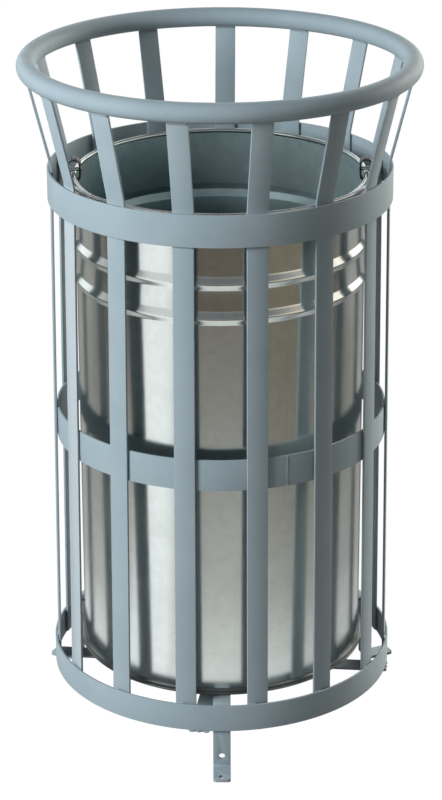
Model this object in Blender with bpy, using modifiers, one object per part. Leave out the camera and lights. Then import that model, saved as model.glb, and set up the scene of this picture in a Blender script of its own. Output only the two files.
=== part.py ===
"""Outdoor litter bin: a flared basket of welded flat bar with a lift-out galvanised liner.

Metres, +Z up, floor at z = 0, basket axis on the world Z axis, front towards -Y.
Every sub-part is one named object; the bail's origin lies on its hinge axis.
"""
import math

import bmesh
import bpy
from mathutils import Matrix, Vector

# --- driving dimensions -------------------------------------------------------
GAP = 0.0003                    # air left between touching pieces
BAR_THICKNESS = 0.003           # flat bar used for slats, bands and cross bars
EDGE_BREAK = 0.0004             # small chamfer on the flat bar edges
RING_STEPS = 72                 # facets round the bands and the top ring

RIM_TUBE_RADIUS = 0.0125        # 25 mm tube
RIM_TUBE_WALL = 0.002
RIM_CENTRE_RADIUS = 0.2375      # ring is 500 mm overall
RIM_CENTRE_HEIGHT = 0.860
VENT_RADIUS = 0.0025

UPPER_BAND_RADIUS = 0.2155      # outer radius; the upper and lower bands run outside the slats
LOWER_BAND_RADIUS = 0.2195      # a little wider, so the slats lean out slightly towards the floor
UPPER_BAND = (0.690, 0.730)     # bottom and top heights
MIDDLE_BAND = (0.378, 0.418)    # this one runs inside the slats
LOWER_BAND = (0.055, 0.090)

SLAT_COUNT = 15
SLAT_WIDTH = 0.026
SLAT_BOTTOM = 0.058
SLAT_BEND_RADIUS = 0.030
# The rear slats stand off their even spacing by a degree or two: slat index, degrees.
SLAT_OFFSETS = {5: -1.5, 6: -2.0, 7: -1.8, 8: -0.7}

# Each foot: compass angle, height of the tab's top, how far the floor flange reaches.
FEET = {"foot_front": (0.0, 0.0911, 0.2495), "foot_left": (-115.0, 0.0959, 0.2535),
        "foot_right": (115.0, 0.0959, 0.2535)}
FOOT_WIDTH = 0.022
FOOT_THICKNESS = 0.004
FOOT_LEG_OUTER_RADIUS = 0.2159  # leg face that bears on the lower band
FOOT_TAB_RADIUS = 0.140         # how far the top tab reaches inwards
FOOT_BEND_RADIUS = 0.005
FOOT_CORNER = 0.004
FOOT_HOLE_RADIUS = 0.004
FOOT_FLANGE_HOLE = 0.0075       # from the flange's tip to the middle of its hole
FOOT_LEG_HOLE = 0.0178          # height of the leg hole

CROSS_BAR_WIDTH = 0.025
CROSS_BAR_LENGTH = 0.433
# Each cross bar: compass angle, how far it lies in front of the basket's middle.
CROSS_BARS = {"cross_bar_upper": (-7.5, 0.0), "cross_bar_lower": (84.0, 0.013)}

# The loose liner stands a little forward of the axis and leans towards the front.
LINER_SEAT = (0.0, -0.008, 0.0950)
LINER_LEAN = 1.1                # degrees
# Liner heights are measured from its own underside.
LINER_OUTER_RADIUS = 0.180
LINER_SHEET = 0.001
LINER_TOP = 0.6316
LINER_STEPS = 60
ROLL_RADIUS = 0.003             # wired, rolled rim
ROLL_CENTRE_RADIUS = 0.1805
BEAD_HEIGHTS = (0.5485, 0.5044)
BEAD_HALF_WIDTH = 0.0095
BEAD_DEPTH = 0.0035
FOOT_RING_RADIUS = 0.1855       # rolled ring round the liner's lower edge
FOOT_RING_HEIGHT = 0.004
BASE_SKIRT = 0.007
BASE_RECESS = 0.005

EAR_SHEET = 0.002
EAR_WIDTH = 0.016
EAR_HALF_SPAN = 0.007           # from the rim's middle to the middle of each leg
EAR_TOP = LINER_TOP + 0.017
EAR_FOOT = LINER_TOP - 0.023
EAR_SHOULDER = (LINER_TOP - 0.012, LINER_TOP - 0.007)   # the legs step in to the wall between these
EAR_CENTRE_RADIUS = 0.1805
EAR_INNER_GAP = 0.0008          # keeps the flat inner leg's corners off the curved wall
RIVET_HEIGHT = LINER_TOP - 0.0175
RIVET_RADIUS = 0.002
RIVET_HEAD_RADIUS = 0.004
RIVET_HEAD_HEIGHT = 0.0016

BAIL_WIRE_RADIUS = 0.0025
BAIL_HEIGHT = LINER_TOP + GAP + BAIL_WIRE_RADIUS
BAIL_PIN_START = 0.1710         # inner end of each hinge pin
BAIL_HALF_WIDTH = 0.1930
BAIL_REACH = 0.1805             # how far the bail reaches forwards
BAIL_BEND_RADIUS = 0.004
PIN_HOLE_RADIUS = BAIL_WIRE_RADIUS + GAP


# --- scene, materials and small helpers ---------------------------------------
def clear_scene():
    """Start from nothing."""
    for item in list(bpy.data.objects):
        bpy.data.objects.remove(item, do_unlink=True)


def new_collection(name):
    """A named collection linked to the scene."""
    collection = bpy.data.collections.new(name)
    bpy.context.scene.collection.children.link(collection)
    return collection


def principled(name, colour, roughness, metallic):
    """One Principled material; each object gets its own."""
    material = bpy.data.materials.new(name)
    material.use_nodes = True
    shader = material.node_tree.nodes["Principled BSDF"]
    shader.inputs["Base Color"].default_value = (*colour, 1.0)
    shader.inputs["Roughness"].default_value = roughness
    shader.inputs["Metallic"].default_value = metallic
    return material


def paint(name):
    """Blue-grey satin powder coat."""
    return principled(name + "_paint", (0.19, 0.25, 0.29), 0.45, 0.0)


def galvanised(name):
    """Semi-bright zinc-coated steel."""
    return principled(name + "_zinc", (0.56, 0.57, 0.55), 0.3, 1.0)


def add_object(name, data, collection, material):
    """Link an object made from a mesh or a curve and give it its material."""
    item = bpy.data.objects.new(name, data)
    collection.objects.link(item)
    item.data.materials.append(material)
    return item


def shade_smooth(mesh):
    """Smooth shading on a round piece."""
    for polygon in mesh.polygons:
        polygon.use_smooth = True


def add_bevel(item, width):
    """Break the sharp edges of a flat bar piece."""
    bevel = item.modifiers.new("edge_break", "BEVEL")
    bevel.width = width
    bevel.segments = 1
    bevel.limit_method = "ANGLE"
    bevel.angle_limit = math.radians(40)


def add_solidify(item, thickness, offset):
    """Give a surface its sheet or bar thickness."""
    solidify = item.modifiers.new("thickness", "SOLIDIFY")
    solidify.thickness = thickness
    solidify.offset = offset
    solidify.use_even_offset = True


def cut_with(item, cutter):
    """Subtract one cutter from an object."""
    boolean = item.modifiers.new("cut_" + cutter.name, "BOOLEAN")
    boolean.operation = "DIFFERENCE"
    boolean.solver = "EXACT"
    boolean.object = cutter


def turned_about_axis(degrees):
    """Rotation that takes local +X to a compass angle, zero being the front and +90 the right."""
    return Matrix.Rotation(math.radians(degrees - 90.0), 4, "Z")


def liner_place():
    """From the liner's own upright frame to where it stands in the basket."""
    return Matrix.Translation(LINER_SEAT) @ Matrix.Rotation(math.radians(LINER_LEAN), 4, "X")


def slat_radius_in_band(band_radius):
    """Radius of the middle of a flat slat whose edges touch the inside of a round band."""
    inside = band_radius - BAR_THICKNESS - GAP
    return math.sqrt(inside ** 2 - (SLAT_WIDTH / 2) ** 2) - BAR_THICKNESS / 2


def slat_radius_at(height):
    """Radius of the middle of the slats at a height, on their straight run between the bands."""
    low_radius = slat_radius_in_band(LOWER_BAND_RADIUS)
    high_radius = slat_radius_in_band(UPPER_BAND_RADIUS)
    along = (height - SLAT_BOTTOM) / (UPPER_BAND[0] - SLAT_BOTTOM)
    return low_radius + (high_radius - low_radius) * along


def drill(name, radius, depth, place, along_x, collection):
    """A cylinder cutter centred on the placement, along its local X or Z axis."""
    mesh = bpy.data.meshes.new(name)
    body = bmesh.new()
    bmesh.ops.create_cone(body, cap_ends=True, segments=20, radius1=radius, radius2=radius, depth=depth)
    body.to_mesh(mesh)
    body.free()
    cutter = bpy.data.objects.new(name, mesh)
    collection.objects.link(cutter)
    tilt = Matrix.Rotation(math.pi / 2, 4, "Y") if along_x else Matrix.Identity(4)
    cutter.matrix_world = place @ tilt
    cutter.hide_render = True
    cutter.display_type = "WIRE"
    return cutter


def fillet(path, corner_radius, steps=3):
    """Round every inner corner of a (radius, height) path with arc points."""
    points = [Vector(point) for point in path]
    rounded = [points[0]]
    for before, corner, after in zip(points, points[1:], points[2:]):
        to_before = (before - corner).normalized()
        to_after = (after - corner).normalized()
        half = to_before.angle(to_after) / 2
        centre = corner + (to_before + to_after).normalized() * (corner_radius / math.sin(half))
        start = corner + to_before * (corner_radius / math.tan(half)) - centre
        end = corner + to_after * (corner_radius / math.tan(half)) - centre
        for step in range(steps + 1):
            direction = start.lerp(end, step / steps).normalized()
            rounded.append(centre + direction * corner_radius)
    rounded.append(points[-1])
    return rounded


def bar_from_path(name, rows, thickness, angle, collection, material):
    """A flat bar: rows of (radius, height, half width) swept and thickened.

    The rows follow the middle of the bar in the local X-Z plane; local +X points outwards.
    The angle turns the finished piece round the basket axis, zero being the front.
    """
    mesh = bpy.data.meshes.new(name)
    body = bmesh.new()
    pairs = []
    for radius, height, half_width in rows:
        left = body.verts.new((radius, -half_width, height))
        right = body.verts.new((radius, half_width, height))
        pairs.append((left, right))
    for (left, right), (next_left, next_right) in zip(pairs, pairs[1:]):
        body.faces.new((left, right, next_right, next_left))
    bmesh.ops.recalc_face_normals(body, faces=body.faces)
    body.to_mesh(mesh)
    body.free()
    item = add_object(name, mesh, collection, material)
    item.matrix_world = turned_about_axis(angle)
    add_solidify(item, thickness, 0.0)
    return item


def turned(name, profile, steps, collection, material):
    """A turned solid: a closed (radius, height) outline spun round Z with the Screw modifier."""
    mesh = bpy.data.meshes.new(name)
    body = bmesh.new()
    verts = [body.verts.new((radius, 0.0, height)) for radius, height in profile]
    for index, vert in enumerate(verts):
        body.edges.new((vert, verts[(index + 1) % len(verts)]))
    body.to_mesh(mesh)
    body.free()
    item = add_object(name, mesh, collection, material)
    screw = item.modifiers.new("turn", "SCREW")
    screw.steps = steps
    screw.render_steps = steps
    screw.use_merge_vertices = True
    screw.merge_threshold = 0.00005
    screw.use_smooth_shade = True
    return item


def wire(name, points, radius, collection, material):
    """A round wire along a poly path, closed by filled caps."""
    curve = bpy.data.curves.new(name, "CURVE")
    curve.dimensions = "3D"
    curve.bevel_depth = radius
    curve.bevel_resolution = 2
    curve.use_fill_caps = True
    spline = curve.splines.new("POLY")
    spline.points.add(len(points) - 1)
    for slot, point in zip(spline.points, points):
        slot.co = (*point, 1.0)
    return add_object(name, curve, collection, material)


# --- basket ---------------------------------------------------------------------
def make_rim_tube(parts, cutters):
    """Top ring: a hollow tube bent round and closed, with a vent hole underneath."""
    name = "rim_tube"
    bpy.ops.mesh.primitive_torus_add(major_radius=RIM_CENTRE_RADIUS, minor_radius=RIM_TUBE_RADIUS,
                                     major_segments=RING_STEPS, minor_segments=12)
    item = bpy.context.object
    item.name = name
    for collection in list(item.users_collection):
        collection.objects.unlink(item)
    parts.objects.link(item)
    item.data.materials.append(paint(name))
    item.location = (0.0, 0.0, RIM_CENTRE_HEIGHT)
    shade_smooth(item.data)
    add_solidify(item, RIM_TUBE_WALL, -1.0)
    below = Matrix.Translation((RIM_CENTRE_RADIUS, 0.0, RIM_CENTRE_HEIGHT - RIM_TUBE_RADIUS))
    place = turned_about_axis(168.0) @ below
    cut_with(item, drill("vent_drill", VENT_RADIUS, 0.010, place, False, cutters))


def make_band(name, heights, outer_radius, parts):
    """A flat bar rolled into a closed hoop."""
    bottom, top = heights
    mesh = bpy.data.meshes.new(name)
    body = bmesh.new()
    bmesh.ops.create_cone(body, cap_ends=False, segments=RING_STEPS, radius1=outer_radius,
                          radius2=outer_radius, depth=top - bottom)
    body.to_mesh(mesh)
    body.free()
    item = add_object(name, mesh, parts, paint(name))
    item.location = (0.0, 0.0, (top + bottom) / 2)
    shade_smooth(mesh)
    add_solidify(item, BAR_THICKNESS, -1.0)
    add_bevel(item, EDGE_BREAK)


def make_slats(parts):
    """Fifteen flat bars, nearly upright to the upper band and leaning out from there to the ring."""
    top_height = RIM_CENTRE_HEIGHT - RIM_TUBE_RADIUS - GAP
    lean = math.atan2(RIM_CENTRE_RADIUS - slat_radius_at(UPPER_BAND[1]), top_height - UPPER_BAND[1])
    bend_height = UPPER_BAND[1] + SLAT_BEND_RADIUS * math.tan(lean / 2)
    tip_height = top_height - BAR_THICKNESS / 2 * math.sin(lean)
    path = fillet([(slat_radius_at(SLAT_BOTTOM), SLAT_BOTTOM), (slat_radius_at(bend_height), bend_height),
                   (RIM_CENTRE_RADIUS, tip_height)], SLAT_BEND_RADIUS)
    rows = [(point.x, point.y, SLAT_WIDTH / 2) for point in path]
    for index in range(SLAT_COUNT):
        name = f"slat_{index + 1:02d}"
        angle = (index + 0.5) * 360.0 / SLAT_COUNT + SLAT_OFFSETS.get(index, 0.0)
        item = bar_from_path(name, rows, BAR_THICKNESS, angle, parts, paint(name))
        add_bevel(item, EDGE_BREAK)


def foot_rows(tab_top, tip_radius):
    """Middle line of a foot: inner tab, down the leg, out along the floor to a rounded tip."""
    leg_radius = FOOT_LEG_OUTER_RADIUS - FOOT_THICKNESS / 2
    tab_height = tab_top - FOOT_THICKNESS / 2
    floor_height = FOOT_THICKNESS / 2
    path = fillet([(FOOT_TAB_RADIUS, tab_height), (leg_radius, tab_height), (leg_radius, floor_height),
                   (tip_radius - FOOT_CORNER, floor_height)], FOOT_BEND_RADIUS)
    rows = [(point.x, point.y, FOOT_WIDTH / 2) for point in path]
    for step in range(1, 4):
        turn = math.radians(30 * step)
        reach = tip_radius - FOOT_CORNER * (1.0 - math.sin(turn))
        half_width = FOOT_WIDTH / 2 - FOOT_CORNER * (1.0 - math.cos(turn))
        rows.append((reach, floor_height, half_width))
    return rows


def make_feet(parts, cutters):
    """Three double-bent feet: tab under the liner, leg inside the lower band, floor flange."""
    leg_hole = Matrix.Translation((FOOT_LEG_OUTER_RADIUS, 0.0, FOOT_LEG_HOLE))
    for name, (angle, tab_top, tip_radius) in FEET.items():
        rows = foot_rows(tab_top, tip_radius)
        item = bar_from_path(name, rows, FOOT_THICKNESS, angle, parts, paint(name))
        flange_hole = Matrix.Translation((tip_radius - FOOT_FLANGE_HOLE, 0.0, 0.0))
        leg_place = turned_about_axis(angle) @ leg_hole
        flange_place = turned_about_axis(angle) @ flange_hole
        cut_with(item, drill(name + "_leg_drill", FOOT_HOLE_RADIUS, 0.012, leg_place, True, cutters))
        cut_with(item, drill(name + "_flange_drill", FOOT_HOLE_RADIUS, 0.012, flange_place, False, cutters))


def make_cross_bars(parts):
    """Two straight bars crossing under the liner, one just below the other."""
    height = LOWER_BAND[0] - GAP - BAR_THICKNESS / 2
    for name, (angle, forward) in CROSS_BARS.items():
        half_length = CROSS_BAR_LENGTH / 2
        rows = [(end, height, CROSS_BAR_WIDTH / 2) for end in (-half_length, half_length)]
        item = bar_from_path(name, rows, BAR_THICKNESS, angle, parts, paint(name))
        item.matrix_world = Matrix.Translation((0.0, -forward, 0.0)) @ turned_about_axis(angle)
        add_bevel(item, EDGE_BREAK)
        height -= BAR_THICKNESS + GAP


# --- liner ------------------------------------------------------------------------
def bead_offset(height):
    """How far the liner wall stands out at a height: two swaged beads below the rim."""
    for centre in BEAD_HEIGHTS:
        distance = abs(height - centre)
        if distance < BEAD_HALF_WIDTH:
            return BEAD_DEPTH * math.cos(math.pi / 2 * distance / BEAD_HALF_WIDTH) ** 1.5
    return 0.0


def wall_heights():
    """Heights of the liner wall points from top to bottom, dense only across the beads."""
    heights = []
    for centre in BEAD_HEIGHTS:
        for step in range(-3, 4):
            heights.append(centre - BEAD_HALF_WIDTH * step / 3)
    heights.append(LINER_SHEET + GAP)
    return heights


def roll_points(first, last, steps):
    """Points round the rolled rim's section between two angles."""
    height = LINER_TOP - ROLL_RADIUS
    points = []
    for step in range(steps + 1):
        turn = first + (last - first) * step / steps
        across = ROLL_CENTRE_RADIUS + ROLL_RADIUS * math.cos(turn)
        points.append((across, height + ROLL_RADIUS * math.sin(turn)))
    return points


def make_liner_shell(parts, cutters):
    """Liner wall with two beads, a rolled rim and a rivet hole under each ear."""
    name = "liner_shell"
    inner_radius = LINER_OUTER_RADIUS - LINER_SHEET
    outer_foot = -math.acos((LINER_OUTER_RADIUS - ROLL_CENTRE_RADIUS) / ROLL_RADIUS)
    inner_foot = 2 * math.pi - math.acos((inner_radius - ROLL_CENTRE_RADIUS) / ROLL_RADIUS)
    heights = wall_heights()
    profile = roll_points(math.pi / 2, outer_foot, 6)
    profile += [(LINER_OUTER_RADIUS + bead_offset(height), height) for height in heights]
    profile += [(inner_radius + bead_offset(height), height) for height in reversed(heights)]
    profile += roll_points(inner_foot - 2 * math.pi, -math.pi * 1.5, 5)[:-1]
    item = turned(name, profile, LINER_STEPS, parts, galvanised(name))
    item.matrix_world = liner_place()
    for side, angle in (("left", -90.0), ("right", 90.0)):
        hole = turned_about_axis(angle) @ Matrix.Translation((LINER_OUTER_RADIUS, 0.0, RIVET_HEIGHT))
        place = liner_place() @ hole
        cut_with(item, drill("wall_" + side + "_drill", RIVET_RADIUS + GAP, 0.010, place, True, cutters))


def make_liner_base(parts):
    """Pressed bottom: a raised disc, with a skirt and a rolled foot ring round the wall's lower edge."""
    name = "liner_base"
    skirt_inner = LINER_OUTER_RADIUS + GAP
    skirt_outer = skirt_inner + LINER_SHEET
    ring = FOOT_RING_RADIUS
    ring_top = FOOT_RING_HEIGHT
    corner = 0.0012
    profile = [
        (skirt_outer, BASE_SKIRT), (skirt_outer, ring_top + corner), (ring - corner, ring_top),
        (ring, ring_top - corner), (ring, corner), (ring - corner, 0.0),
        (0.1755, 0.0), (0.1735, BASE_RECESS), (0.0, BASE_RECESS), (0.0, BASE_RECESS + LINER_SHEET),
        (0.1745, BASE_RECESS + LINER_SHEET), (0.1765, LINER_SHEET), (skirt_inner, LINER_SHEET),
        (skirt_inner, BASE_SKIRT),
    ]
    item = turned(name, profile, LINER_STEPS, parts, galvanised(name))
    item.matrix_world = liner_place()


def ear_rows():
    """Middle line of an ear: up one side of the wall, over the rim and down the other side."""
    inner_wall = LINER_OUTER_RADIUS - LINER_SHEET - EAR_INNER_GAP - EAR_SHEET / 2
    outer_wall = LINER_OUTER_RADIUS + GAP + EAR_SHEET / 2
    inner_leg = EAR_CENTRE_RADIUS - EAR_HALF_SPAN
    outer_leg = EAR_CENTRE_RADIUS + EAR_HALF_SPAN
    shoulder_low, shoulder_high = EAR_SHOULDER
    arch_radius = 0.006
    arch_foot = EAR_TOP - EAR_SHEET / 2 - arch_radius
    rows = [(inner_wall, EAR_FOOT), (inner_wall, shoulder_low)]
    rows += [(inner_leg, shoulder_high), (inner_leg, arch_foot)]
    for step in range(1, 7):
        turn = math.pi * step / 7
        across = EAR_CENTRE_RADIUS - EAR_HALF_SPAN * math.cos(turn)
        rows.append((across, arch_foot + arch_radius * math.sin(turn)))
    rows += [(outer_leg, arch_foot), (outer_leg, shoulder_high)]
    rows += [(outer_wall, shoulder_low), (outer_wall, EAR_FOOT)]
    return [(radius, height, EAR_WIDTH / 2) for radius, height in rows]


def make_ears(parts, cutters):
    """Two strap ears astride the rolled rim, drilled for the bail's pins and for a rivet."""
    rows = ear_rows()
    for side, angle in (("left", -90.0), ("right", 90.0)):
        name = "ear_" + side
        turn = liner_place() @ turned_about_axis(angle)
        item = bar_from_path(name, rows, EAR_SHEET, angle, parts, galvanised(name))
        item.matrix_world = turn
        pin_place = turn @ Matrix.Translation((EAR_CENTRE_RADIUS, 0.0, BAIL_HEIGHT))
        rivet_place = turn @ Matrix.Translation((EAR_CENTRE_RADIUS, 0.0, RIVET_HEIGHT))
        cut_with(item, drill(name + "_pin_drill", PIN_HOLE_RADIUS, 0.030, pin_place, True, cutters))
        hole_radius = RIVET_RADIUS + GAP
        cut_with(item, drill(name + "_rivet_drill", hole_radius, 0.020, rivet_place, True, cutters))


def make_rivets(parts):
    """One domed rivet through each ear and the liner wall."""
    inner_face = LINER_OUTER_RADIUS - LINER_SHEET - EAR_INNER_GAP - GAP - EAR_SHEET
    outer_face = LINER_OUTER_RADIUS + 2 * GAP + EAR_SHEET
    half_grip = (outer_face - inner_face) / 2
    head_edge = half_grip + RIVET_HEAD_HEIGHT * 0.4
    head_shoulder = half_grip + RIVET_HEAD_HEIGHT * 0.8
    tip = half_grip + RIVET_HEAD_HEIGHT
    half = [(0.0, tip), (RIVET_HEAD_RADIUS * 0.45, head_shoulder + RIVET_HEAD_HEIGHT * 0.1),
            (RIVET_HEAD_RADIUS * 0.8, head_shoulder - RIVET_HEAD_HEIGHT * 0.1),
            (RIVET_HEAD_RADIUS, head_edge), (RIVET_HEAD_RADIUS, half_grip), (RIVET_RADIUS, half_grip)]
    profile = half + [(radius, -height) for radius, height in reversed(half)]
    for side, angle in (("left", -90.0), ("right", 90.0)):
        name = "rivet_" + side
        item = turned(name, profile, 16, parts, galvanised(name))
        place = Matrix.Translation(((inner_face + outer_face) / 2, 0.0, RIVET_HEIGHT))
        turn = liner_place() @ turned_about_axis(angle)
        item.matrix_world = turn @ place @ Matrix.Rotation(math.pi / 2, 4, "Y")


def bail_half():
    """Points of one half of the bail from the pin's inner end to just before the middle.

    Local frame: hinge axis on X through the origin, bail folded forwards along -Y.
    """
    bend_x = BAIL_HALF_WIDTH - BAIL_BEND_RADIUS
    points = [(BAIL_PIN_START, 0.0, 0.0), (bend_x, 0.0, 0.0)]
    for step in range(1, 4):
        turn = math.radians(30.0 * step)
        across = bend_x + BAIL_BEND_RADIUS * math.sin(turn)
        points.append((across, -BAIL_BEND_RADIUS * (1 - math.cos(turn)), 0.0))
    for step in range(1, 20):
        turn = math.radians(90.0 * step / 20)
        points.append((BAIL_HALF_WIDTH * math.cos(turn), -BAIL_REACH * math.sin(turn), 0.0))
    return points


def make_bail(parts):
    """Round-wire bail with a turned-in pin at each end, lying on the front of the rim."""
    half = bail_half()
    mirrored = [(-x, y, z) for x, y, z in reversed(half)]
    points = half + [(0.0, -BAIL_REACH, 0.0)] + mirrored
    item = wire("bail", points, BAIL_WIRE_RADIUS, parts, galvanised("bail"))
    item.matrix_world = liner_place() @ Matrix.Translation((0.0, 0.0, BAIL_HEIGHT))


def build():
    """Build the whole bin."""
    clear_scene()
    parts = new_collection("Parts")
    cutters = new_collection("cutters")
    make_rim_tube(parts, cutters)
    middle_band_radius = slat_radius_at(MIDDLE_BAND[1]) - BAR_THICKNESS / 2 - GAP
    make_band("upper_band", UPPER_BAND, UPPER_BAND_RADIUS, parts)
    make_band("middle_band", MIDDLE_BAND, middle_band_radius, parts)
    make_band("lower_band", LOWER_BAND, LOWER_BAND_RADIUS, parts)
    make_slats(parts)
    make_feet(parts, cutters)
    make_cross_bars(parts)
    make_liner_shell(parts, cutters)
    make_liner_base(parts)
    make_ears(parts, cutters)
    make_rivets(parts)
    make_bail(parts)


build()
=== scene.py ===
"""Looks for the outdoor litter bin: painted flat-bar basket, galvanised lift-out liner and bail."""
import math
import random

import bmesh
import bpy
from mathutils import Matrix, Vector


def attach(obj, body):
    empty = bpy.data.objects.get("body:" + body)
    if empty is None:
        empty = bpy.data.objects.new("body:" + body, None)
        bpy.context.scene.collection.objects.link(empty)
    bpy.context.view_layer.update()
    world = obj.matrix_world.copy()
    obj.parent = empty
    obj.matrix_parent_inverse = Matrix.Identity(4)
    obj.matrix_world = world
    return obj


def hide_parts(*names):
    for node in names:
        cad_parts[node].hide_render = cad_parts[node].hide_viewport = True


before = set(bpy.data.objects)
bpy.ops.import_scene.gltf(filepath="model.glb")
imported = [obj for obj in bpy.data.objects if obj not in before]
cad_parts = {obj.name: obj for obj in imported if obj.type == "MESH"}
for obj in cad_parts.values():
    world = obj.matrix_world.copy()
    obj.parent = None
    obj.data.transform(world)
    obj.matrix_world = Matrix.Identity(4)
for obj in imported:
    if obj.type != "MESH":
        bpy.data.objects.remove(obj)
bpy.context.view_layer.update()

# --- dimensions, in metres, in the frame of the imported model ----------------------
RIM_RADIUS = 0.2375             # top ring, to the middle of its tube
RIM_TUBE = 0.0125               # the tube's own radius
RIM_HEIGHT = 0.860
BAR = 0.003                     # thickness of the slats, bands and cross bars
BAR_EDGE = 0.0006               # rounding of their edges
GAP = 0.0003                    # air between touching pieces
# Each band: bottom, top, outer radius.
BANDS = {"upper_band": (0.690, 0.730, 0.2155), "middle_band": (0.378, 0.418, 0.2102),
         "lower_band": (0.055, 0.090, 0.2195)}
SEAM_ANGLE = 22.5               # compass angle of the middle band's weld
SLAT_COUNT = 15
SLAT_WIDTH = 0.026
# Points on a slat's middle line: radius, height.
SLAT_BOTTOM = (0.2143, 0.058)
SLAT_BEND = (0.2100, 0.7343)
SLAT_TIP = (0.2375, 0.8469)
SLAT_BEND_RADIUS = 0.030
# The rear slats stand off their even spacing by a degree or two: slat index, degrees.
SLAT_OFFSETS = {5: -1.5, 6: -2.0, 7: -1.8, 8: -0.7}
# Each foot: compass angle, height of the tab's top, reach of the floor flange.
FEET = {"foot_front": (0.0, 0.0911, 0.2495), "foot_left": (-115.0, 0.0959, 0.2535),
        "foot_right": (115.0, 0.0959, 0.2535)}
FOOT_WIDTH = 0.022
FOOT_BAR = 0.004                # thickness of the feet
FOOT_EDGE = 0.0005              # rounding of their edges
FOOT_LEG = 0.2139               # radius of the leg's middle line
FOOT_TAB = 0.140                # how far in the tab reaches
FOOT_BEND_RADIUS = 0.005
FOOT_TOE_RADIUS = 0.004
FOOT_HOLE_RADIUS = 0.004
FOOT_LEG_HOLE = 0.0178          # height of the leg hole
FOOT_FLANGE_HOLE = 0.0075       # from the toe to the middle of the flange hole
# Each cross bar: compass angle, height, how far it lies in front of the middle.
CROSS_BARS = {"cross_bar_upper": (-7.5, 0.0532, 0.0), "cross_bar_lower": (84.0, 0.0499, 0.013)}
CROSS_BAR_HALF = 0.2165         # half of their length
CROSS_BAR_WIDTH = 0.025
WELD_INSET = 0.0005             # how far a bead stops short of an edge
# The liner's own heights are measured from its underside.
LINER_SEAT = (0.0, -0.008, 0.0950)  # where the middle of its underside stands
LINER_LEAN = 1.1                # degrees, forwards
LINER_RADIUS = 0.180
LINER_SHEET = 0.001
LINER_TOP = 0.6316
ROLL_CENTRE = 0.1805            # rolled rim, to the middle of the roll
ROLL = 0.003                    # the roll's own radius
BEADS = (0.5485, 0.5044)        # heights of the two swaged beads
BEAD_HALF = 0.0095
BEAD_DEPTH = 0.0045
BASE_SKIRT = 0.0070             # top of the part that wraps the wall
BASE_RECESS = 0.005             # height of the raised disc
FOOT_RING = 0.1855              # outer radius of the ring it stands on
FOOT_RING_ROLL = 0.0020         # radius of that ring's rounding
EAR_SHEET = 0.002
EAR_EDGE = 0.0004
EAR_WIDTH = 0.016
# Radius of the ear's middle line where it lies against the inside and the outside of the wall.
EAR_LEGS = (0.1772, 0.1813)
EAR_HALF_SPAN = 0.007           # from the roll's middle to each side of the arch
EAR_ARCH = 0.006                # height of the arch
EAR_RISE = 0.017                # how far the ear stands above the liner's top
RIVET_HEIGHT = 0.6141
RIVET_HALF_GRIP = 0.00335       # from the middle of the joint to under a head
RIVET_HEAD = 0.004              # radius of the head
RIVET_DOME = 0.0016             # height of the head
RIVET_SHANK = 0.002             # radius of the shank
BAIL_WIRE = 0.0025              # radius of the wire
BAIL_HEIGHT = 0.6344
# The bail's pins run between these two radii, then bend forward.
BAIL_PIN = (0.1710, 0.1890)
BAIL_BEND = 0.004               # radius of that bend
RING_STEPS = 192                # facets round the ring, the bands and the liner

# --- surroundings: a pale panel at the left, in the world and in the floor --------
PANEL_BEARING = -50.0           # degrees from the front, negative to the left
PANEL_INSIDE = 13.0             # it is whole this many degrees either side
PANEL_OUTSIDE = 19.0            # and gone by this many
STAGE_SIZE = 20.0               # half the width of the floor


# --- mesh helpers -----------------------------------------------------------------
def add_piece(name, mesh, body, node, material):
    """A finished mesh that rides on a body and, if a CAD node is named, stands for it."""
    piece = bpy.data.objects.new(name, mesh)
    bpy.context.scene.collection.objects.link(piece)
    mesh.materials.clear()
    mesh.materials.append(material)
    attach(piece, body)
    if node:
        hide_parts(node)
    return piece


def smooth(mesh, angle=40.0):
    """Smooth shading, with edges sharper than the angle kept crisp."""
    for polygon in mesh.polygons:
        polygon.use_smooth = True
    mesh.set_sharp_from_angle(angle=math.radians(angle))


def to_mesh(name, body, angle=40.0):
    """Turn a bmesh into a mesh with outward normals."""
    bmesh.ops.recalc_face_normals(body, faces=body.faces)
    mesh = bpy.data.meshes.new(name)
    body.to_mesh(mesh)
    body.free()
    smooth(mesh, angle)
    return mesh


def applied(mesh, modifiers, angle=40.0):
    """The mesh with modifiers applied; each is (type, {setting: value})."""
    item = bpy.data.objects.new("work", mesh)
    bpy.context.scene.collection.objects.link(item)
    for kind, settings in modifiers:
        modifier = item.modifiers.new(kind.lower(), kind)
        for key, value in settings.items():
            setattr(modifier, key, value)
    depsgraph = bpy.context.evaluated_depsgraph_get()
    result = bpy.data.meshes.new_from_object(item.evaluated_get(depsgraph))
    bpy.data.objects.remove(item, do_unlink=True)
    smooth(result, angle)
    return result


def turn_to(degrees):
    """Rotation that takes local +X to a compass angle: zero is the front, +90 the right."""
    return Matrix.Rotation(math.radians(degrees - 90.0), 4, "Z")


def fillet(path, corner_radius, steps):
    """Round every inner corner of a (radius, height) path."""
    points = [Vector(point) for point in path]
    rounded = [points[0]]
    for before, corner, after in zip(points, points[1:], points[2:]):
        to_before = (before - corner).normalized()
        to_after = (after - corner).normalized()
        half = to_before.angle(to_after) / 2
        centre = corner + (to_before + to_after).normalized() * (corner_radius / math.sin(half))
        start = corner + to_before * (corner_radius / math.tan(half)) - centre
        end = corner + to_after * (corner_radius / math.tan(half)) - centre
        for step in range(steps + 1):
            direction = start.slerp(end, step / steps).normalized()
            rounded.append(centre + direction * corner_radius)
    rounded.append(points[-1])
    return rounded


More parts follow.
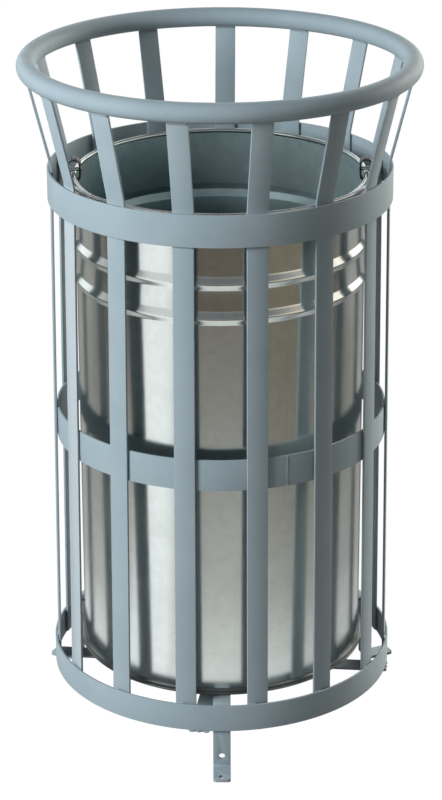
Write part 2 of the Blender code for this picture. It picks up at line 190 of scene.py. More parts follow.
def strip_bmesh(rows):
    """A flat strip from (radius, height, half width) rows, in the local X-Z plane."""
    body = bmesh.new()
    pairs = []
    for radius, height, half_width in rows:
        left = body.verts.new((radius, -half_width, height))
        right = body.verts.new((radius, half_width, height))
        pairs.append((left, right))
    for (left, right), (next_left, next_right) in zip(pairs, pairs[1:]):
        body.faces.new((left, right, next_right, next_left))
    return body


def bar_mesh(name, rows, thickness, edge, angle, holes=()):
    """A flat bar along the rows with rounded edges and drilled holes, turned to its compass angle."""
    mesh = to_mesh(name, strip_bmesh(rows))
    modifiers = [("SOLIDIFY", {"thickness": thickness, "offset": 0.0, "use_even_offset": True})]
    cutters = [cylinder(radius, depth, place) for radius, depth, place in holes]
    for cutter in cutters:
        modifiers.append(("BOOLEAN", {"object": cutter, "operation": "DIFFERENCE", "solver": "EXACT"}))
    modifiers.append(("BEVEL", {"width": edge, "segments": 3, "limit_method": "ANGLE",
                                "angle_limit": math.radians(50)}))
    result = applied(mesh, modifiers, 35.0)
    for cutter in cutters:
        bpy.data.objects.remove(cutter, do_unlink=True)
    result.transform(turn_to(angle))
    result.name = name
    return result


def cylinder(radius, depth, place):
    """A round cutter along the local Z axis of its placement."""
    body = bmesh.new()
    bmesh.ops.create_cone(body, cap_ends=True, segments=40, radius1=radius, radius2=radius, depth=depth)
    mesh = bpy.data.meshes.new("cutter")
    body.to_mesh(mesh)
    body.free()
    item = bpy.data.objects.new("cutter", mesh)
    bpy.context.scene.collection.objects.link(item)
    item.matrix_world = place
    item.hide_render = True
    return item


def turned_mesh(name, profile, steps, angle=40.0):
    """A closed (radius, height) outline turned round Z."""
    body = bmesh.new()
    count = len(profile)
    rings = []
    for step in range(steps):
        turn = 2 * math.pi * step / steps
        rings.append([body.verts.new((r * math.cos(turn), r * math.sin(turn), z)) for r, z in profile])
    for ring, following in zip(rings, rings[1:] + rings[:1]):
        for index in range(count):
            other = (index + 1) % count
            body.faces.new((ring[index], following[index], following[other], ring[other]))
    bmesh.ops.remove_doubles(body, verts=body.verts, dist=1e-6)
    return to_mesh(name, body, angle)


def tube_mesh(name, points, radius, sides=20):
    """A round wire of even radius through the points."""
    body = bmesh.new()
    add_tube(body, points, [radius] * len(points), sides)
    return to_mesh(name, body, 60.0)


def add_tube(body, points, radii, sides):
    """Adds a capped tube of varying radius to a bmesh."""
    points = [Vector(point) for point in points]
    rings = []
    reference = Vector((0.0, 0.0, 1.0))
    for index, point in enumerate(points):
        ahead = points[min(index + 1, len(points) - 1)] - points[max(index - 1, 0)]
        ahead.normalize()
        side = ahead.cross(reference)
        if side.length < 1e-4:
            side = ahead.cross(Vector((0.0, 1.0, 0.0)))
        side.normalize()
        up = side.cross(ahead).normalized()
        ring = []
        for step in range(sides):
            turn = 2 * math.pi * step / sides
            ring.append(body.verts.new(point + (side * math.cos(turn) + up * math.sin(turn)) * radii[index]))
        rings.append(ring)
    for ring, following in zip(rings, rings[1:]):
        for step in range(sides):
            other = (step + 1) % sides
            body.faces.new((ring[step], ring[other], following[other], following[step]))
    body.faces.new(rings[0])
    body.faces.new(list(reversed(rings[-1])))


def add_weld(body, start, end, radius, seed):
    """Adds one rippled weld bead between two points to a bmesh."""
    ripple_length = 0.0024
    steps_per_ripple = 5
    start, end = Vector(start), Vector(end)
    length = (end - start).length
    rng = random.Random(seed)
    ripples = max(2, round(length / ripple_length))
    count = ripples * steps_per_ripple
    points, radii = [], []
    drift = Vector((0.0, 0.0, 0.0))
    for step in range(count + 1):
        along = step / count
        if step % steps_per_ripple == 0:
            drift = Vector([rng.uniform(-1, 1) * radius * 0.10 for _ in range(3)])
        ripple = 0.88 + 0.12 * abs(math.sin(math.pi * along * ripples))
        taper = min(1.0, math.sqrt(max(0.0, min(along, 1 - along)) * length / radius + 0.02))
        points.append(start.lerp(end, along) + drift)
        radii.append(radius * ripple * taper)
    add_tube(body, points, radii, 10)


# --- materials --------------------------------------------------------------------
def new_material(name):
    """An empty Principled material with its tree, shader and object coordinates."""
    material = bpy.data.materials.new(name)
    material.use_nodes = True
    tree = material.node_tree
    shader = tree.nodes["Principled BSDF"]
    coordinates = tree.nodes.new("ShaderNodeTexCoord")
    return material, tree, shader, coordinates.outputs["Object"]


def noise(tree, vector, scale, detail=3.0, roughness=0.5, stretch=None):
    """A noise texture's value, with the pattern stretched along some axes if asked."""
    if stretch:
        mapping = tree.nodes.new("ShaderNodeMapping")
        mapping.inputs["Scale"].default_value = stretch
        tree.links.new(vector, mapping.inputs["Vector"])
        vector = mapping.outputs["Vector"]
    texture = tree.nodes.new("ShaderNodeTexNoise")
    texture.inputs["Scale"].default_value = scale
    texture.inputs["Detail"].default_value = detail
    texture.inputs["Roughness"].default_value = roughness
    tree.links.new(vector, texture.inputs["Vector"])
    return texture.outputs["Fac"]


def ramp(tree, value, low, high, bottom=0.0, top=1.0):
    """Maps a value from one range to another, clamped."""
    node = tree.nodes.new("ShaderNodeMapRange")
    node.inputs["From Min"].default_value = low
    node.inputs["From Max"].default_value = high
    node.inputs["To Min"].default_value = bottom
    node.inputs["To Max"].default_value = top
    tree.links.new(value, node.inputs["Value"])
    return node.outputs["Result"]


def math_node(tree, operation, first, second=0.0):
    """A math node on one or two values or numbers."""
    node = tree.nodes.new("ShaderNodeMath")
    node.operation = operation
    for socket, value in zip(node.inputs, (first, second)):
        if isinstance(value, (int, float)):
            socket.default_value = value
        else:
            tree.links.new(value, socket)
    return node.outputs["Value"]


def mix(tree, factor, first, second, blend="MIX"):
    """Mixes two colours by a factor."""
    node = tree.nodes.new("ShaderNodeMix")
    node.data_type = "RGBA"
    node.blend_type = blend
    if isinstance(factor, (int, float)):
        node.inputs["Factor"].default_value = factor
    else:
        tree.links.new(factor, node.inputs["Factor"])
    for socket, value in ((node.inputs["A"], first), (node.inputs["B"], second)):
        if isinstance(value, tuple):
            socket.default_value = (*value, 1.0)
        else:
            tree.links.new(value, socket)
    return node.outputs["Result"]


def compass_of(tree, split):
    """The bearing of a place or direction, in radians: zero at the front, positive to the right."""
    forward = math_node(tree, "MULTIPLY", split.outputs["Y"], -1.0)
    return math_node(tree, "ARCTAN2", split.outputs["X"], forward)


def sector(tree, compass, bearing, inside, outside):
    """One within some degrees of a bearing, fading to zero further off."""
    off = math_node(tree, "ABSOLUTE", math_node(tree, "ADD", compass, math.radians(-bearing)))
    return ramp(tree, off, math.radians(inside), math.radians(outside), 1.0, 0.0)


def bump(tree, shader, height, strength, distance):
    """Feeds a height into the shader's normal, on top of any bump already there."""
    node = tree.nodes.new("ShaderNodeBump")
    node.inputs["Strength"].default_value = strength
    node.inputs["Distance"].default_value = distance
    tree.links.new(height, node.inputs["Height"])
    if shader.inputs["Normal"].links:
        tree.links.new(shader.inputs["Normal"].links[0].from_socket, node.inputs["Normal"])
    tree.links.new(node.outputs["Normal"], shader.inputs["Normal"])


def painted_steel():
    """Satin blue-grey powder coat: fine orange peel, faint mottling, dust, and paler edges that are partly
    wear and partly a painted edge highlight.
    """
    deep_coat, pale_coat = (0.203, 0.268, 0.308), (0.222, 0.288, 0.327)
    run_tone, speck_tone = (0.200, 0.248, 0.280), (0.30, 0.34, 0.36)
    dust_tone, worn_and_highlit_edge_tone = (0.32, 0.33, 0.32), (0.42, 0.46, 0.48)
    material, tree, shader, place = new_material("painted_steel")
    mottle = noise(tree, place, 14.0, 4.0)
    colour = mix(tree, ramp(tree, mottle, 0.35, 0.65), deep_coat, pale_coat)
    streak = noise(tree, place, 90.0, 3.0, 0.6, (1.0, 1.0, 0.05))
    colour = mix(tree, ramp(tree, streak, 0.55, 0.75, 0.0, 0.20), colour, run_tone)
    speck = noise(tree, place, 900.0, 2.0)
    colour = mix(tree, ramp(tree, speck, 0.62, 0.75, 0.0, 0.20), colour, speck_tone)
    dust = noise(tree, place, 60.0, 5.0, 0.6)
    colour = mix(tree, ramp(tree, dust, 0.50, 0.80, 0.0, 0.18), colour, dust_tone)
    geometry = tree.nodes.new("ShaderNodeNewGeometry")
    # Paler edges from Pointiness: partly edge wear, partly a painted highlight along the bars' lit edges.
    worn_and_highlit_edges = ramp(tree, geometry.outputs["Pointiness"], 0.53, 0.62, 0.0, 0.45)
    colour = mix(tree, worn_and_highlit_edges, colour, worn_and_highlit_edge_tone)
    tree.links.new(colour, shader.inputs["Base Color"])
    tree.links.new(ramp(tree, dust, 0.3, 0.7, 0.42, 0.56), shader.inputs["Roughness"])
    orange_peel = noise(tree, place, 420.0, 2.0)
    waviness = noise(tree, place, 30.0, 2.0)
    bump(tree, shader, orange_peel, 0.25, 0.0004)
    bump(tree, shader, waviness, 0.10, 0.0010)
    return material


def zinc(name, tint, roughness, spangle, metallic=1.0):
    """Galvanised sheet: faint spangle, vertical drag lines, dull patches and slightly hazy reflections."""
    material, tree, shader, place = new_material(name)
    shader.inputs["Metallic"].default_value = metallic
    cells = tree.nodes.new("ShaderNodeTexVoronoi")
    cells.inputs["Scale"].default_value = 90.0
    tree.links.new(place, cells.inputs["Vector"])
    crystal = tree.nodes.new("ShaderNodeSeparateColor")
    tree.links.new(cells.outputs["Color"], crystal.inputs["Color"])
    grain = crystal.outputs["Red"]
    patches = noise(tree, place, 12.0, 5.0, 0.6)
    drag = noise(tree, place, 120.0, 3.0, 0.6, (1.0, 1.0, 0.03))
    rolling = noise(tree, place, 500.0, 2.0, 0.5, (0.05, 0.05, 1.0))
    dark = tuple(channel * (1.0 - spangle) for channel in tint)
    light = tuple(min(1.0, channel * (1.0 + spangle)) for channel in tint)
    patch_tone = tuple(channel * 0.80 for channel in tint)
    drag_tone = tuple(channel * 0.75 for channel in tint)
    colour = mix(tree, grain, dark, light)
    colour = mix(tree, ramp(tree, patches, 0.45, 0.75, 0.0, 0.30), colour, patch_tone)
    colour = mix(tree, ramp(tree, drag, 0.55, 0.75, 0.0, 0.18), colour, drag_tone)
    tree.links.new(colour, shader.inputs["Base Color"])
    haze = math_node(tree, "ADD", ramp(tree, patches, 0.3, 0.7, roughness - 0.02, roughness + 0.05),
                     math_node(tree, "MULTIPLY", grain, 0.02))
    tree.links.new(haze, shader.inputs["Roughness"])
    bump(tree, shader, rolling, 0.06, 0.0002)
    bump(tree, shader, patches, 0.05, 0.0015)
    return material


def weld_paint(paint):
    """The same paint over a rougher weld bead."""
    material = paint.copy()
    material.name = "painted_weld"
    tree = material.node_tree
    shader = tree.nodes["Principled BSDF"]
    coordinates = tree.nodes.new("ShaderNodeTexCoord")
    grit = noise(tree, coordinates.outputs["Object"], 900.0, 3.0)
    bump(tree, shader, grit, 0.5, 0.0005)
    return material


# --- basket -----------------------------------------------------------------------
def rounded_box_profile(inner, outer, low, high, edge, steps=4):
    """A rectangle in the radius-height plane with rounded corners."""
    corners = ((outer - edge, high - edge, 90.0, 0.0), (outer - edge, low + edge, 0.0, -90.0),
               (inner + edge, low + edge, -90.0, -180.0), (inner + edge, high - edge, -180.0, -270.0))
    profile = []
    for radius, height, first, last in corners:
        for step in range(steps + 1):
            turn = math.radians(first + (last - first) * step / steps)
            profile.append((radius + edge * math.cos(turn), height + edge * math.sin(turn)))
    return profile


def make_rim(paint):
    """The top ring, a smooth bent tube."""
    sides = 40
    profile = []
    for step in range(sides):
        turn = -2 * math.pi * step / sides
        profile.append((RIM_RADIUS + RIM_TUBE * math.cos(turn), RIM_HEIGHT + RIM_TUBE * math.sin(turn)))
    mesh = turned_mesh("rim_tube_skin", profile, RING_STEPS, 70.0)
    add_piece("rim_tube_skin", mesh, "basket", "rim_tube", paint)


def make_bands(paint):
    """The three hoops."""
    for node, (low, high, outer) in BANDS.items():
        profile = rounded_box_profile(outer - BAR, outer, low, high, BAR_EDGE)
        mesh = turned_mesh(node + "_skin", profile, RING_STEPS, 50.0)
        add_piece(node + "_skin", mesh, "basket", node, paint)


def slat_angle(index):
    """Compass angle of a slat: zero is the front, +90 the right."""
    return (index + 0.5) * 360.0 / SLAT_COUNT + SLAT_OFFSETS.get(index, 0.0)


def slat_path():
    """Middle line of a slat, upright below and leaning out to the ring."""
    return fillet([SLAT_BOTTOM, SLAT_BEND, SLAT_TIP], SLAT_BEND_RADIUS, 8)


def make_slats(paint):
    """Fifteen flat bars with softly rolled edges."""
    rows = [(point.x, point.y, SLAT_WIDTH / 2) for point in slat_path()]
    for index in range(SLAT_COUNT):
        node = f"slat_{index + 1:02d}"
        mesh = bar_mesh(node + "_skin", rows, BAR, BAR_EDGE, slat_angle(index))
        add_piece(node + "_skin", mesh, "basket", node, paint)


def foot_rows(tab_top, tip):
    """Middle line and half width of a foot, from its tab down the leg to the rounded toe."""
    tab = tab_top - FOOT_BAR / 2
    floor = FOOT_BAR / 2
    path = [(FOOT_TAB, tab), (FOOT_LEG, tab), (FOOT_LEG, floor), (tip - FOOT_TOE_RADIUS, floor)]
    rows = [(point.x, point.y, FOOT_WIDTH / 2) for point in fillet(path, FOOT_BEND_RADIUS, 8)]
    for step in range(1, 7):
        turn = math.radians(15 * step)
        reach = tip - FOOT_TOE_RADIUS * (1 - math.sin(turn))
        rows.append((reach, floor, FOOT_WIDTH / 2 - FOOT_TOE_RADIUS * (1 - math.cos(turn))))
    return rows


def make_feet(paint):
    """Bent feet with their two drilled holes and a rounded toe."""
    drill_depth = 3 * FOOT_BAR
    across = Matrix.Rotation(math.pi / 2, 4, "Y")
    leg_hole = Matrix.Translation((FOOT_LEG, 0.0, FOOT_LEG_HOLE)) @ across
    for node, (angle, tab_top, tip) in FEET.items():
        flange_hole = Matrix.Translation((tip - FOOT_FLANGE_HOLE, 0.0, FOOT_BAR / 2))
        holes = [(FOOT_HOLE_RADIUS, drill_depth, place) for place in (leg_hole, flange_hole)]
        mesh = bar_mesh(node + "_skin", foot_rows(tab_top, tip), FOOT_BAR, FOOT_EDGE, angle, holes)
        add_piece(node + "_skin", mesh, "basket", node, paint)


def make_cross_bars(paint):
    """Two straight bars under the liner."""
    for node, (angle, height, forward) in CROSS_BARS.items():
        rows = [(end, height, CROSS_BAR_WIDTH / 2) for end in (-CROSS_BAR_HALF, CROSS_BAR_HALF)]
        mesh = bar_mesh(node + "_skin", rows, BAR, BAR_EDGE, angle)
        mesh.transform(Matrix.Translation((0.0, -forward, 0.0)))
        add_piece(node + "_skin", mesh, "basket", node, paint)


def weld_slats(body):
    """Beads on both faces of each slat under the ring, and one against each of the outer bands."""
    half = SLAT_WIDTH / 2 - WELD_INSET
    face = 0.0019
    ring_bead, upper_bead, lower_bead = 0.0016, 0.0015, 0.0010
    tip_radius, tip_height = SLAT_TIP
    upper_low, _, upper_outer = BANDS["upper_band"]
    _, lower_high, lower_outer = BANDS["lower_band"]
    # Each bead: radius it lies at, height, its two ends across the slat, its own radius, seed.
    beads = ((tip_radius + face, tip_height + WELD_INSET, -half, half, ring_bead, 1),
             (tip_radius - face, tip_height + WELD_INSET, -half, half, ring_bead, 2),
             (upper_outer - BAR - GAP, upper_low - GAP, 0.0015, half, upper_bead, 3),
             (lower_outer - BAR - WELD_INSET, lower_high + GAP, -half, -0.002, lower_bead, 4))
    for index in range(SLAT_COUNT):
        turn = turn_to(slat_angle(index))
        for reach, height, first, last, radius, seed in beads:
            ends = [turn @ Vector((reach, side, height)) for side in (first, last)]
            add_weld(body, *ends, radius, index * 10 + seed)


def weld_cross_bars(body):
    """Three short beads where each end of a cross bar meets the lower band."""
    reach = CROSS_BAR_HALF + 0.0007
    lift = 0.0004
    bead_radius = 0.0021
    # Each bead: its two ends across the bar, seed.
    beads = ((-0.0135, -0.0055, 5), (-0.004, 0.0025, 6), (0.0045, 0.0125, 7))
    for angle, height, forward in CROSS_BARS.values():
        for flip in (0.0, 180.0):
            turn = Matrix.Translation((0.0, -forward, 0.0)) @ turn_to(angle + flip)
            for first, last, seed in beads:
                ends = [turn @ Vector((reach, side, height + lift)) for side in (first, last)]
                add_weld(body, *ends, bead_radius, int(angle + flip) + seed)


def weld_seam(body):
    """The butt weld that closes the middle band, standing just proud of its outer face."""
    low, high, outer = BANDS["middle_band"]
    reach = outer - 0.0001
    bead_radius = 0.0009
    turn = turn_to(SEAM_ANGLE)
    ends = [turn @ Vector((reach, 0.0, height)) for height in (low + WELD_INSET, high - WELD_INSET)]
    add_weld(body, *ends, bead_radius, 9)


def make_welds(paint):
    """All the basket's weld beads, as one piece."""
    body = bmesh.new()
    weld_slats(body)
    weld_cross_bars(body)
    weld_seam(body)
    mesh = to_mesh("basket_welds", body, 60.0)
    welds = add_piece("basket_welds", mesh, "basket", None, weld_paint(paint))


# --- liner and bail ---------------------------------------------------------------
def liner_place():
    """From the liner's own upright frame to where it stands, leaning slightly forwards."""
    return Matrix.Translation(LINER_SEAT) @ Matrix.Rotation(math.radians(LINER_LEAN), 4, "X")


def bead_offset(height):
    """How far the liner wall stands out at a height: straight slopes with a rounded crest and feet."""
    fillet_share = 0.15
    for centre in BEADS:
        rise = 1.0 - abs(height - centre) / BEAD_HALF
        if rise > 1.0 - fillet_share:
            return BEAD_DEPTH * (1.0 - (1.0 - rise) ** 2 / (2 * fillet_share * (1 - fillet_share)))
        if rise > fillet_share:
            return BEAD_DEPTH * (rise - fillet_share / 2) / (1 - fillet_share)
        if rise > 0.0:
            return BEAD_DEPTH * rise ** 2 / (2 * fillet_share * (1 - fillet_share))
    return 0.0


def roll_points(first, last, steps):
    """Points round the rolled rim's section."""
    points = []
    for step in range(steps + 1):
        turn = first + (last - first) * step / steps
        points.append((ROLL_CENTRE + ROLL * math.cos(turn), LINER_TOP - ROLL + ROLL * math.sin(turn)))
    return points


def make_liner_shell(outside, inside):
    """The liner's wall with its rolled rim and two swaged beads, and its inner face in a rougher, less
    metallic, darker copy of the zinc whose darkness is painted shade.
    """
    split = LINER_RADIUS - LINER_SHEET / 2
    inner = LINER_RADIUS - LINER_SHEET
    outer_foot = -math.acos((LINER_RADIUS - ROLL_CENTRE) / ROLL)
    inner_foot = -math.acos((split - ROLL_CENTRE) / ROLL)
    heights = []
    for centre in BEADS:
        heights += [centre - BEAD_HALF * step / 10 for step in range(-10, 11)]
    heights.append(LINER_SHEET + GAP)
    profile = roll_points(math.pi / 2, outer_foot, 14)
    profile += [(LINER_RADIUS + bead_offset(height), height) for height in heights]
    profile += [(split + bead_offset(height), height) for height in reversed(heights)]
    profile += roll_points(inner_foot, -math.pi * 1.5, 12)[:-1]
    mesh = turned_mesh("liner_shell_skin", profile, RING_STEPS, 50.0)
    mesh.transform(liner_place())
    add_piece("liner_shell_skin", mesh, "liner", "liner_shell", outside)
    heights.insert(0, LINER_TOP - 2 * ROLL)
    profile = [(split + bead_offset(height), height) for height in heights]
    profile += [(inner + bead_offset(height), height) for height in reversed(heights)]
    mesh = turned_mesh("liner_inside_skin", profile, RING_STEPS, 50.0)
    mesh.transform(liner_place())
    lining = add_piece("liner_inside_skin", mesh, "liner", None, inside)


def make_liner_base(material):
    """The pressed bottom with a rolled foot ring round its edge."""
    skirt = LINER_RADIUS + 0.0001
    profile = [(skirt, BASE_SKIRT), (skirt + 0.0007, BASE_SKIRT + 0.0001), (skirt + 0.0012, 0.0066),
               (skirt + 0.0013, 0.0052), (skirt + 0.0021, 0.0045)]
    for step in range(13):
        turn = math.radians(100.0 - 190.0 * step / 12)
        profile.append((FOOT_RING - FOOT_RING_ROLL * (1 - math.cos(turn)),
                        FOOT_RING_ROLL * (1 + math.sin(turn))))
    profile += [(0.1755, 0.0), (0.1747, 0.0006), (0.1736, 0.0042), (0.1724, BASE_RECESS),
                (0.0, BASE_RECESS), (0.0, BASE_RECESS + LINER_SHEET), (0.1730, BASE_RECESS + LINER_SHEET),
                (0.1746, 0.005), (0.1757, 0.0016), (0.1766, LINER_SHEET), (skirt, LINER_SHEET)]
    mesh = turned_mesh("liner_base_skin", profile, RING_STEPS, 50.0)
    mesh.transform(liner_place())
    add_piece("liner_base_skin", mesh, "liner", "liner_base", material)


def ear_rows():
    """Middle line and half width of an ear: up the inside of the wall, over the rim and down outside."""
    strap_end = LINER_TOP - 0.023
    crank_low = LINER_TOP - 0.012
    crank_high = LINER_TOP - 0.007
    arch_foot = LINER_TOP + EAR_RISE - EAR_SHEET / 2 - EAR_ARCH
    inside, outside = ROLL_CENTRE - EAR_HALF_SPAN, ROLL_CENTRE + EAR_HALF_SPAN
    inner_leg, outer_leg = EAR_LEGS
    path = [(inner_leg, strap_end), (inner_leg, crank_low), (inside, crank_high), (inside, arch_foot)]
    for step in range(1, 16):
        turn = math.pi * step / 16
        path.append((ROLL_CENTRE - EAR_HALF_SPAN * math.cos(turn), arch_foot + EAR_ARCH * math.sin(turn)))
    path += [(outside, arch_foot), (outside, crank_high), (outer_leg, crank_low), (outer_leg, strap_end)]
    return [(radius, height, EAR_WIDTH / 2) for radius, height in path]


def make_ears(material):
    """Strap ears astride the rolled rim, drilled for the bail."""
    drill_depth = 0.030
    across = Matrix.Rotation(math.pi / 2, 4, "Y")
    place = Matrix.Translation((ROLL_CENTRE, 0.0, BAIL_HEIGHT)) @ across
    holes = [(BAIL_WIRE + GAP, drill_depth, place)]
    for side, angle in (("left", -90.0), ("right", 90.0)):
        mesh = bar_mesh("ear_" + side + "_skin", ear_rows(), EAR_SHEET, EAR_EDGE, angle, holes)
        mesh.transform(liner_place())
        add_piece("ear_" + side + "_skin", mesh, "liner", "ear_" + side, material)


def make_rivets(material):
    """Domed rivet heads on both sides of each ear."""
    profile = []
    for step in range(9):
        turn = math.radians(90.0 - 10.0 * step)
        profile.append((RIVET_HEAD * math.cos(turn), RIVET_HALF_GRIP + RIVET_DOME * math.sin(turn)))
    profile += [(RIVET_HEAD, RIVET_HALF_GRIP), (RIVET_SHANK, RIVET_HALF_GRIP)]
    profile += [(radius, -height) for radius, height in reversed(profile)]
    across = Matrix.Rotation(math.pi / 2, 4, "Y")
    place = Matrix.Translation((sum(EAR_LEGS) / 2, 0.0, RIVET_HEIGHT)) @ across
    for side, angle in (("left", -90.0), ("right", 90.0)):
        mesh = turned_mesh("rivet_" + side + "_skin", profile, 32)
        mesh.transform(liner_place() @ turn_to(angle) @ place)
        add_piece("rivet_" + side + "_skin", mesh, "liner", "rivet_" + side, material)


def make_bail(material):
    """The wire bail lying on the front of the rim, its ends turned in through the ears."""
    pin_start, pin_end = BAIL_PIN
    half_width = pin_end + BAIL_BEND
    half = [(pin_start, 0.0, BAIL_HEIGHT), (pin_end, 0.0, BAIL_HEIGHT)]
    for step in range(1, 9):
        turn = math.radians(90.0 * step / 8)
        half.append((pin_end + BAIL_BEND * math.sin(turn), -BAIL_BEND * (1 - math.cos(turn)), BAIL_HEIGHT))
    for step in range(1, 60):
        turn = math.radians(90.0 * step / 60)
        half.append((half_width * math.cos(turn), -ROLL_CENTRE * math.sin(turn), BAIL_HEIGHT))
    points = half + [(0.0, -ROLL_CENTRE, BAIL_HEIGHT)] + [(-x, y, z) for x, y, z in reversed(half)]
    mesh = tube_mesh("bail_skin", points, BAIL_WIRE)
    mesh.transform(liner_place())
    add_piece("bail_skin", mesh, "bail", "bail", material)


# --- floor, lights and camera -----------------------------------------------------
def glowing(name):
    """A material that only gives off light, with its tree, shader and object coordinates."""
    material, tree, shader, place = new_material(name)
    shader.inputs["Base Color"].default_value = (0.0, 0.0, 0.0, 1.0)
    shader.inputs["Specular IOR Level"].default_value = 0.0
    shader.inputs["Roughness"].default_value = 1.0
    shader.inputs["Emission Strength"].default_value = 1.0
    return material, tree, shader, place


def add_plane(name, height, material):
    """A wide level plane of the stage."""
    body = bmesh.new()
    bmesh.ops.create_grid(body, x_segments=1, y_segments=1, size=STAGE_SIZE)
    mesh = to_mesh(name, body)
    plane = bpy.data.objects.new(name, mesh)
    bpy.context.scene.collection.objects.link(plane)
    plane.location = (0.0, 0.0, height)
    mesh.materials.append(material)
    return plane


def make_floor():
    """A plain, evenly lit white studio floor."""
    material, tree, shader, place = glowing("floor_white")
    shade = ramp(tree, noise(tree, place, 0.6), 0.3, 0.7)
    tree.links.new(mix(tree, shade, (1.0, 1.0, 1.0), (1.02, 1.02, 1.02)), shader.inputs["Emission Color"])
    floor = add_plane("floor", -0.0008, material)
    floor.visible_diffuse = False
    floor.visible_glossy = False


def make_carpet(name, height, near, far, left):
    """A floor-level glow, unseen by the camera: it fades with distance and has its own tone on the left."""
    under_bin, round_bin = (0.15, 0.15, 0.15), (0.53, 0.53, 0.51)
    dim_right, warm_right, rear = (0.10, 0.10, 0.09), (0.180, 0.158, 0.118), (0.60, 0.60, 0.58)
    material, tree, shader, place = glowing(name)
    split = tree.nodes.new("ShaderNodeSeparateXYZ")
    tree.links.new(place, split.inputs["Vector"])
    across, back = split.outputs["X"], split.outputs["Y"]
    squares = math_node(tree, "ADD", math_node(tree, "MULTIPLY", across, across),
                        math_node(tree, "MULTIPLY", back, back))
    reach = math_node(tree, "SQRT", squares)
    beyond = ramp(tree, reach, 0.48, 1.25)
    colour = mix(tree, ramp(tree, reach, 0.20, 0.32), under_bin, near)
    colour = mix(tree, ramp(tree, reach, 0.30, 0.55), colour, round_bin)
    colour = mix(tree, beyond, colour, far)
    compass = compass_of(tree, split)
    dim = ramp(tree, compass, math.radians(20.0), math.radians(55.0), 0.0, 0.30)
    colour = mix(tree, dim, colour, dim_right)
    warm = math_node(tree, "MULTIPLY", sector(tree, compass, 50.0, 14.0, 30.0), beyond)
    colour = mix(tree, warm, colour, warm_right)
    panel = sector(tree, compass, PANEL_BEARING, PANEL_INSIDE, PANEL_OUTSIDE)
    colour = mix(tree, panel, colour, left)
    behind = ramp(tree, back, 0.3, 0.9, 0.0, 0.5)
    colour = mix(tree, behind, colour, rear)
    tree.links.new(colour, shader.inputs["Emission Color"])
    carpet = add_plane(name, height, material)
    carpet.visible_camera = False
    carpet.visible_shadow = False
    return carpet


def add_light(name, place, aim, size, energy, colour):
    """A square soft light aimed at a point; the steel mirrors the surroundings instead of it."""
    data = bpy.data.lights.new(name, "AREA")
    data.shape = "SQUARE"
    data.size = size
    data.energy = energy
    data.color = colour
    lamp = bpy.data.objects.new(name, data)
    bpy.context.scene.collection.objects.link(lamp)
    lamp.location = place
    direction = Vector(aim) - Vector(place)
    lamp.rotation_mode = "QUATERNION"
    lamp.rotation_quaternion = direction.to_track_quat("-Z", "Y")
    lamp.visible_glossy = False


def make_world():
    """White for the camera; the bin sees a white back, a dim front, a warm right and a pale panel left."""
    front, warm_right, overhead = (0.23, 0.228, 0.22), (1.05, 0.93, 0.80), (0.15, 0.16, 0.17)
    back_left, back_right = (1.15, 1.18, 1.20), (1.70, 1.60, 1.48)
    panel_tone = (0.78, 0.80, 0.80)
    share_for_matt_surfaces = 0.80
    world = bpy.data.worlds.new("studio")
    bpy.context.scene.world = world
    world.use_nodes = True
    tree = world.node_tree
    coordinates = tree.nodes.new("ShaderNodeTexCoord")
    split = tree.nodes.new("ShaderNodeSeparateXYZ")
    tree.links.new(coordinates.outputs["Generated"], split.inputs["Vector"])
    right = ramp(tree, split.outputs["X"], 0.45, 0.90)
    behind = ramp(tree, split.outputs["Y"], 0.0, 0.60)
    above = ramp(tree, split.outputs["Z"], 0.36, 0.58)
    backdrop = mix(tree, ramp(tree, split.outputs["X"], -0.2, 0.6), back_left, back_right)
    colour = mix(tree, right, front, warm_right)
    colour = mix(tree, behind, colour, backdrop)
    colour = mix(tree, above, colour, overhead)
    panel = sector(tree, compass_of(tree, split), PANEL_BEARING, PANEL_INSIDE, PANEL_OUTSIDE)
    panel = math_node(tree, "MULTIPLY", panel, ramp(tree, split.outputs["Z"], 0.60, 0.75, 1.0, 0.0))
    colour = mix(tree, panel, colour, panel_tone)
    path = tree.nodes.new("ShaderNodeLightPath")
    dimmer = ramp(tree, path.outputs["Is Diffuse Ray"], 0.0, 1.0, 1.0, share_for_matt_surfaces)
    colour = mix(tree, 1.0, colour, dimmer, "MULTIPLY")
    colour = mix(tree, path.outputs["Is Camera Ray"], colour, (1.0, 1.0, 1.0))
    tree.links.new(colour, tree.nodes["Background"].inputs["Color"])


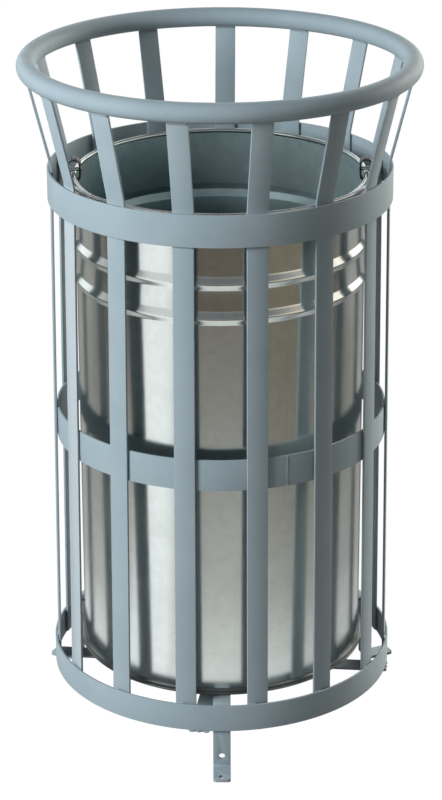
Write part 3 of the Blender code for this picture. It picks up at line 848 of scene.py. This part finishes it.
def make_camera():
    """A long-lens camera in front of the bin, looking slightly down on it."""
    look_down = math.radians(19.51)
    roll = -0.003
    data = bpy.data.cameras.new("camera")
    camera = bpy.data.objects.new("camera", data)
    bpy.context.scene.collection.objects.link(camera)
    data.lens = 118.6
    data.sensor_width = 36.0
    data.shift_x = 0.0005
    data.shift_y = -0.1265
    data.clip_end = 100.0
    camera.location = (0.0, -3.146, 1.666)
    tilt = Matrix.Rotation(math.pi / 2 - look_down, 3, "X")
    camera.rotation_euler = (tilt @ Matrix.Rotation(roll, 3, "Z")).to_euler()
    bpy.context.scene.camera = camera


paint = painted_steel()
make_rim(paint)
make_bands(paint)
make_slats(paint)
make_feet(paint)
make_cross_bars(paint)
make_welds(paint)
outer_zinc = zinc("liner_zinc", tint=(0.78, 0.83, 0.815), roughness=0.18, spangle=0.03)
# The lining is a darker, bluer copy of the liner zinc: painted shade inside the liner.
shaded_inner_zinc = zinc("lining_zinc", tint=(0.46, 0.60, 0.63), roughness=0.30, spangle=0.06, metallic=0.78)
wire_zinc = zinc("wire_zinc", tint=(0.78, 0.79, 0.78), roughness=0.24, spangle=0.05)
# The ears and their rivets are darkened to paint the shade they sit in.
shaded_ear_zinc = zinc("shaded_ear_zinc", tint=(0.10, 0.105, 0.105), roughness=0.34, spangle=0.05)
# The base zinc is darkened to paint the dark reflection round the bottom of the liner.
shaded_base_zinc = zinc("shaded_base_zinc", tint=(0.27, 0.30, 0.29), roughness=0.32, spangle=0.03)
make_liner_shell(outer_zinc, shaded_inner_zinc)
make_liner_base(shaded_base_zinc)
make_ears(shaded_ear_zinc)
make_rivets(shaded_ear_zinc)
make_bail(wire_zinc)

make_floor()
# The steel mirrors the first glow, and the paint is lit by the second.
mirrored = make_carpet("mirrored_floor", -0.0004, near=(0.88, 0.89, 0.88), far=(0.125, 0.104, 0.085),
                       left=(0.98, 1.00, 1.00))
mirrored.visible_diffuse = False
glow = make_carpet("floor_glow", -0.0002, near=(0.34, 0.34, 0.33), far=(0.34, 0.335, 0.325),
                   left=(0.36, 0.36, 0.36))
glow.visible_glossy = False
add_light("key", place=(-2.55, -1.55, 1.85), aim=(0.0, 0.0, 0.45), size=1.2, energy=172.0,
          colour=(1.0, 0.99, 0.98))
add_light("warm_side", place=(2.3, 1.93, 1.2), aim=(0.0, 0.0, 0.6), size=1.5, energy=210.0,
          colour=(1.0, 0.90, 0.78))
make_world()
make_camera()
bpy.context.scene.view_settings.view_transform = "Standard"
